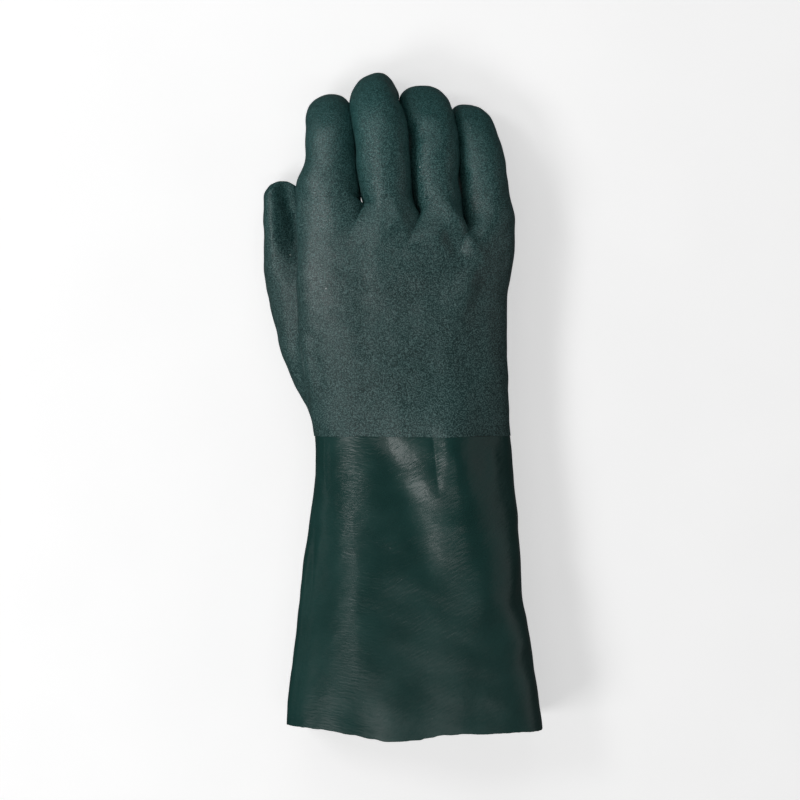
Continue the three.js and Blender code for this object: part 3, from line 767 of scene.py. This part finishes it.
def relief(points, normals, coat):
    """How far the worn and dipped cloth stands out of the plain form at points of the surface."""
    out = waves_at(points, COAT_WAVES[coat])
    facing_up = smoothstep(normals[:, 2], *FACING_UP)
    for folds, power in ((FOLDS, 2), (CREASES, 1)):
        for fold in folds:
            line = curved(fold["line"])
            reach = FOLD_REACH * max(fold["left"], fold["right"])
            low, high = line[:, :2].min(axis=0) - reach, line[:, :2].max(axis=0) + reach
            inside = np.all((points[:, :2] > low) & (points[:, :2] < high), axis=1)
            near = inside & (facing_up > 0)
            distance, on_right, height = beside_line(points[near, :2], line)
            width = np.where(on_right, fold["right"], fold["left"])
            out[near] += facing_up[near] * height * np.exp(-((distance / width) ** power))
    return out


def shaped(points, quads, lowest, coat):
    """A plain skin with its folds, flat where it meets the table."""
    normals = normals_of(points, quads)
    points = points + normals * relief(points, normals, coat)[:, None]
    points[:, 2] = np.maximum(points[:, 2], lowest)
    return points


def stitch(outer, inner):
    """Triangles between two loops that run side by side, the outer one with more corners."""
    ratio = len(outer) // len(inner)
    faces = []
    for n, corner in enumerate(outer):
        after = outer[(n + 1) % len(outer)]
        here = inner[(n + ratio // 2) // ratio % len(inner)]
        there = inner[(n + 1 + ratio // 2) // ratio % len(inner)]
        faces.append((after, corner, here))
        if there != here:
            faces.append((after, here, there))
    return faces


def ring_quads(near, far):
    """Quads between two loops of as many corners."""
    count = len(near)
    return [(near[n], near[(n + 1) % count], far[(n + 1) % count], far[n]) for n in range(count)]


def make_piece(name, node, points, groups):
    """A piece from points in millimetres of the frame and groups of a material and its faces."""
    mesh = bpy.data.meshes.new(name)
    faces = [face for _, group in groups for face in group]
    mesh.from_pydata((points * MM).tolist(), [], faces)
    index = []
    for n, (material, group) in enumerate(groups):
        mesh.materials.append(material)
        index += [n] * len(group)
    mesh.polygons.foreach_set("material_index", index)
    mesh.shade_smooth()
    mesh.set_sharp_from_angle(angle=SHARP_EDGE)
    piece = placed(name, mesh)
    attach(piece, "root")
    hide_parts(node)


def soften_crease(points):
    """The crease round the thumb's root fades towards the wrist."""
    around = len(THUMB_SIDE_FACETS) + PALM_LEFT
    for ring, root in enumerate(THUMB_ROOT):
        for end in (0, PALM_LEFT):
            corner = ring * around + end
            before, after = ring * around + (end - 1) % around, corner + 1
            middle = (points[before] + points[after]) / 2
            points[corner] += (middle - points[corner]) * CREASE_FILL * (1 - root["apart"])
    return points


def lean_thumb(points, lean):
    """The top of the thumb sinks to the right, under the palm's side."""
    x, y, z = points.T
    thumb = thumb_beside(y)
    across, up = x - thumb["x"], z - thumb["z"]
    beyond = np.interp(y, *([row[key] for row in THUMB_SKIN] for key in ("y", "beyond")))
    on_top = (np.hypot(across, up) < thumb["radius"] + beyond) & (up > 0) & (y < THUMB_SKIN_ENDS)
    share = smoothstep(across / thumb["radius"], *LEAN_ACROSS) * smoothstep(y, *LEAN_ALONG)
    points[:, 2] -= np.where(on_top, lean * share * up, 0)
    return points


def hand_surface(inset, subdivisions, lean):
    """Points and quads of one finished side of the hand's wall."""
    cage, quads = hand_skin(inset)
    points, quads = subdivided(soften_crease(cage), quads, subdivisions)
    return shaped(lean_thumb(points, lean), quads, inset, "sandy"), quads


def spread_round(loop, count):
    """Points spread evenly over the corners of a closed loop."""
    closed = np.concatenate([loop, loop[:1]])
    places = np.arange(count) * len(loop) / count
    return np.stack([np.interp(places, np.arange(len(closed)), axis) for axis in closed.T], axis=1)


def lip_rings(edge, inwards):
    """The lip of the sandy coat from its edge, over the gauntlet and back under itself."""
    overlap = np.maximum(LIP + waves_at(edge, LIP_WAVES), LIP_LEAST)
    past = overlap[:, None] * np.array([0, -1.0, 0])
    under = inwards * (SECOND_COAT + LIP_SINK)
    return [edge + past * LIP_ROUNDED, edge + past + inwards * SECOND_COAT / 2, edge + past + under,
            edge + under]


def make_hand(shift, coat, lining):
    """The hand: its sandy coat with the lip at the wrist, and its lining."""
    outside, outside_quads = hand_surface(0, SUBDIVISIONS, THUMB_LEAN)
    inside, inside_quads = hand_surface(WALL, SUBDIVISIONS_INSIDE, THUMB_LEAN_INSIDE)
    rim = rim_loop(outside_quads, 0, 1)
    inner_rim = rim_loop(inside_quads, 0, 1)
    inwards = spread_round(inside[inner_rim], len(rim)) - outside[rim]
    inwards /= np.linalg.norm(inwards, axis=1, keepdims=True)
    rings = lip_rings(outside[rim], inwards)
    points = np.concatenate([outside, inside, *rings])
    first = len(outside) + len(inside)
    loops = [rim, *np.arange(first, len(points)).reshape(len(rings), -1).tolist()]
    lip = [face for near, far in zip(loops, loops[1:]) for face in ring_quads(far, near)]
    lining_faces = (inside_quads[:, ::-1] + len(outside)).tolist()
    lining_faces += stitch(loops[-1], [corner + len(outside) for corner in inner_rim])
    groups = [(coat, outside_quads.tolist() + lip), (lining, lining_faces)]
    make_piece("hand_sandy", "hand", points + shift, groups)


def smooth_row(rows, y):
    """A section's sizes at y, on a smooth curve through the rows of a table."""
    places = [row["y"] for row in rows]
    n = min(max(np.searchsorted(places, y) - 1, 0), len(rows) - 2)
    span = places[n + 1] - places[n]
    result = {}
    for key in rows[0]:
        values = np.array([row[key] for row in rows], float)
        slopes = np.gradient(values, places) * span
        result[key] = between(values, slopes, n, (y - places[n]) / span)
    return result


def hem_reach(shares):
    """How far the cut hem reaches past its section, at shares of its outline."""
    turns = TAU * shares
    circle = HEM_RADIUS * np.stack([np.cos(turns), np.sin(turns), np.zeros(len(shares))], axis=1)
    reach = waves_at(circle, HEM_RAGS)
    for wave in HEM_WAVES:
        away = np.abs(np.mod(shares - wave["at"] + 0.5, 1) - 0.5)
        reach += wave["out"] * np.exp(-((away / wave["spread"]) ** 2))
    return reach


def tube(inset, around, along):
    """One finished side of the gauntlet's wall, with its rings from the hem to the wrist."""
    shares = np.arange(around) / around
    hem, next_to_hem = (row["y"] for row in GAUNTLET_SECTIONS[:2])
    reach = hem_reach(shares)
    points = []
    for y in np.linspace(hem, COATING_LINE, along + 1):
        outline = Section(smooth_row(GAUNTLET_SECTIONS, y), inset).at(shares)
        near_hem = np.clip((next_to_hem - y) / (next_to_hem - hem), 0, 1)
        near_wrist = (y - hem) / (COATING_LINE - hem)
        ys = y - near_hem * reach - near_wrist * SEAM_GAP
        points.append(np.stack([outline[:, 0], ys, outline[:, 1]], axis=1))
    rings = np.arange((along + 1) * around).reshape(along + 1, around)
    near, far = rings[:-1], rings[1:]
    corners = [near, np.roll(near, -1, axis=1), np.roll(far, -1, axis=1), far]
    quads = np.stack(corners, axis=2).reshape(-1, 4)
    points = shaped(np.concatenate(points), quads, inset - SECOND_COAT, "smooth")
    return points, quads, rings


def make_gauntlet(shift, coat, lining):
    """The gauntlet: its smooth coat with the edges at the hem and the wrist, and its lining."""
    outside, outside_quads, outer = tube(SECOND_COAT, *GAUNTLET_GRID)
    inside, inside_quads, inner = tube(WALL, *GAUNTLET_GRID_INSIDE)
    inner = inner + len(outside)
    hem = [face[::-1] for face in stitch(outer[0].tolist(), inner[0].tolist())]
    wrist = stitch(outer[-1].tolist(), inner[-1].tolist())
    lining_faces = (inside_quads[:, ::-1] + len(outside)).tolist()
    groups = [(coat, outside_quads.tolist() + hem + wrist), (lining, lining_faces)]
    points = np.concatenate([outside, inside])
    make_piece("gauntlet_smooth", "gauntlet", points + shift, groups)


def shift_to_frame():
    """From the tables' zero to the frame's: the plain hand's middle goes to that of its node."""
    low, high = (np.array(corner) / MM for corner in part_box("hand"))
    points = hand_skin(0)[0]
    return (low + high - points.min(axis=0) - points.max(axis=0)) / 2 * (1, 1, 0)


def opaque(colour):
    """A colour with its alpha. A socket stays as it is."""
    return (*colour, 1.0) if isinstance(colour, tuple) else colour


class Nodes:
    """Adds linked nodes to a new material. Sizes and depths are in millimetres."""

    def __init__(self, name):
        self.material = bpy.data.materials.new(name)
        self.material.use_nodes = True
        self.tree = self.material.node_tree
        self.place = self.add("TexCoord", output="Object")

    def put(self, socket, value):
        if isinstance(value, bpy.types.NodeSocket):
            self.tree.links.new(value, socket)
        else:
            socket.default_value = value

    def fill(self, node, inputs):
        """Sets a node's inputs by name, with _ for a space, or by number, as _0 and _1."""
        for key, value in inputs.items():
            number_or_name = int(key[1:]) if key[0] == "_" else key.replace("_", " ")
            self.put(node.inputs[number_or_name], value)

    def add(self, kind, settings=None, output=0, **inputs):
        """An output of a new node of a kind, without its prefix."""
        node = self.tree.nodes.new("ShaderNode" + kind)
        for key, value in (settings or {}).items():
            setattr(node, key, value)
        self.fill(node, inputs)
        return node.outputs[output]

    def finished(self, **inputs):
        """The material with the inputs of its shader set."""
        self.fill(self.tree.nodes["Principled BSDF"], inputs)
        return self.material

    def coordinates(self):
        """x and y on the surface, in metres."""
        return [self.add("SeparateXYZ", output=axis, Vector=self.place) for axis in "XY"]

    def stretched(self, size, turn):
        """Places turned about z and measured in a size, or in sizes along x, y and z."""
        turned = self.add("Mapping", Vector=self.place, Rotation=(0, 0, turn))
        scale = [1 / (each * MM) for each in np.broadcast_to(size, 3)]
        return self.add("Mapping", Vector=turned, Scale=scale)

    def noise(self, size, turn=0.0, detail=2.0, roughness=0.5):
        """A noise of lumps about as large as size."""
        place = self.stretched(size, turn)
        return self.add("TexNoise", Vector=place, Scale=1.0, Detail=detail, Roughness=roughness)

    def specks(self, apart, size):
        """1 in a few small specks, 0 elsewhere."""
        place = self.stretched(apart, 0.0)
        distance = self.add("TexVoronoi", output="Distance", Vector=place, Scale=1.0)
        return self.ramp(distance, 1, 0, over=(size / apart * 0.5, size / apart))

    def bands(self, axis, size, scale, distortion):
        """Wavy bands across an axis."""
        place = self.stretched(size, 0.0)
        return self.add("TexWave", {"bands_direction": axis}, output="Fac", Vector=place,
                        Scale=scale, Distortion=distortion)

    def ramp(self, value, low, high, over=(0.0, 1.0)):
        """From low to high as the value runs over a range, and level outside it."""
        return self.add("MapRange", {"clamp": True}, Value=value, From_Min=over[0],
                        From_Max=over[1], To_Min=low, To_Max=high)

    def mix(self, share, first, second):
        """A colour between two, by share. The sockets are the node's own for colours."""
        return self.add("Mix", {"data_type": "RGBA"}, output=2, Factor=share,
                        _6=opaque(first), _7=opaque(second))

    def times(self, first, second):
        return self.add("Math", {"operation": "MULTIPLY"}, _0=first, _1=second)

    def plus(self, first, second):
        return self.add("Math", {"operation": "ADD"}, _0=first, _1=second)

    def bump(self, height, depth, **normal):
        """A bump of a depth, over the Normal of another if one is given."""
        return self.add("Bump", Height=height, Strength=1.0, Distance=depth * MM, **normal)


def sandy_material():
    """Matt PVC with a fine sandy grain, painted lighter and greener towards the fingertips for the
    light they catch.
    """
    n = Nodes("sandy_pvc")
    grain = n.noise(0.65, roughness=0.65)
    clumps = n.noise(2.0)
    patches = n.noise(22, detail=3.0)
    x, y = n.coordinates()
    # Painted light: the coat's colours blend towards their lighter, greener fingertip versions over
    # this span of y.
    painted_tip_light = n.ramp(y, 0, 1, over=(0.06, 0.15))
    back = n.mix(n.ramp(patches, 0, 1, over=(0.35, 0.65)), *BETWEEN_GRAINS)
    base = n.mix(painted_tip_light, back, BETWEEN_GRAINS_PAINTED_LIT_TIPS)
    grains = n.mix(painted_tip_light, GRAINS, GRAINS_PAINTED_LIT_TIPS)
    speckled = n.mix(n.ramp(grain, 0, 1, over=(0.44, 0.62)), base, grains)
    worn_wrist = n.ramp(y, 0.1, 0, over=(0.02, 0.07))
    past_edge = n.ramp(x, 0, 1, over=(-0.052, -0.047))
    palm_edge = n.times(past_edge, n.ramp(x, 0.38, 0, over=(-0.045, -0.03)))
    beside_thumb = n.times(palm_edge, n.ramp(y, 0, 1, over=(0.02, 0.06)))
    return n.finished(
        Base_Color=n.mix(n.times(n.specks(13, 0.5), 0.9), speckled, DUST_ON_SANDY),
        Roughness=n.plus(n.ramp(clumps, 0.30, 0.38, over=(0.3, 0.7)), worn_wrist),
        Specular_IOR_Level=n.plus(n.ramp(y, 0.42, 0.62, over=(0.01, 0.06)), beside_thumb),
        Normal=n.bump(grain, 0.25, Normal=n.bump(clumps, 0.2)),
    )


def smooth_material():
    """Half glossy PVC, rippled by the knit under it, level on the left and slanted on the right.
    Its left side is duller."""
    n = Nodes("smooth_pvc")
    level = n.noise((5, 1.15, 5), turn=math.radians(8))
    slanted = n.noise((5, 1.2, 5), turn=math.radians(-34))
    x, y = n.coordinates()
    right = n.ramp(x, 0, 1, over=(-0.025, -0.005))
    ripples = n.plus(n.times(slanted, right), n.times(level, n.ramp(right, 1.3, 0)))
    patches = n.noise(18, detail=3.0)
    coat = n.mix(n.ramp(patches, 0, 1, over=(0.35, 0.65)), *SMOOTH_COAT)
    worn_hem = n.ramp(y, 0.1, 0, over=(-0.14, -0.07))
    gloss = n.ramp(y, 0.6, 0.4, over=(-0.13, -0.06))
    dull_left = n.ramp(right, n.ramp(y, 0.4, 0.8, over=(-0.13, -0.06)), 1)
    return n.finished(
        Base_Color=n.mix(n.times(n.specks(11, 0.3), 0.35), coat, DUST_ON_SMOOTH),
        Roughness=n.plus(n.ramp(patches, 0.26, 0.32, over=(0.3, 0.7)), worn_hem),
        Specular_IOR_Level=n.times(gloss, dull_left),
        Normal=n.bump(ripples, 0.18, Normal=n.bump(n.noise(4.5), 0.06)),
    )


def lining_material():
    """Plain knitted cotton."""
    n = Nodes("knitted_lining")
    stitches = n.bands("Y", 8, scale=2.0, distortion=1.0)
    ribs = n.bands("X", 8, scale=2.4, distortion=0.6)
    knit = n.times(ribs, n.ramp(stitches, 0.4, 1))
    return n.finished(Base_Color=n.mix(knit, *COTTON), Roughness=0.9, Normal=n.bump(knit, 0.3))


def floor_material():
    """Pale, and glowing a little."""
    n = Nodes("floor")
    tone = n.mix(n.noise(60), *FLOOR_TONES)
    return n.finished(Base_Color=tone, Emission_Color=tone, Emission_Strength=FLOOR_GLOW,
                      Roughness=0.85, Specular_IOR_Level=0.2)


def make_floor():
    """The floor, which neither shows in the glove's gloss nor lights it from below."""
    mesh = bpy.data.meshes.new("floor")
    reach = FLOOR_SIZE / 2
    sides = ((-reach, -reach), (reach, -reach), (reach, reach), (-reach, reach))
    mesh.from_pydata([(x, y, FLOOR_Z) for x, y in sides], [], [(0, 1, 2, 3)])
    mesh.materials.append(floor_material())
    floor = placed("floor", mesh)
    floor.visible_glossy = False
    floor.visible_diffuse = False


def make_light(name, place, size, power):
    """A soft light that faces the glove."""
    light = bpy.data.lights.new(name, "AREA")
    light.shape = "RECTANGLE"
    light.size, light.size_y = size
    light.energy = power
    lamp = placed(name, light)
    lamp.location = place
    lamp.rotation_euler = (-Vector(place)).to_track_quat("-Z", "Y").to_euler()
    lamp.visible_camera = False


def make_world():
    """A faint white light from all round."""
    world = bpy.data.worlds.new("studio")
    world.use_nodes = True
    background = world.node_tree.nodes["Background"]
    background.inputs["Color"].default_value = opaque((1.0, 1.0, 1.0))
    background.inputs["Strength"].default_value = WORLD_STRENGTH
    bpy.context.scene.world = world


def make_camera():
    """A camera that looks straight down, as the photograph does."""
    camera = bpy.data.cameras.new("camera")
    camera.lens = CAMERA_LENS
    camera.sensor_width = CAMERA_SENSOR
    bpy.context.scene.camera = placed("camera", camera)
    bpy.context.scene.camera.location = CAMERA_PLACE


shift = shift_to_frame()
knit = lining_material()
make_hand(shift, sandy_material(), knit)
make_gauntlet(shift, smooth_material(), knit)
make_floor()
make_camera()
make_world()
for light in LIGHTS:
    make_light(**light)
bpy.context.scene.view_settings.view_transform = "Standard"
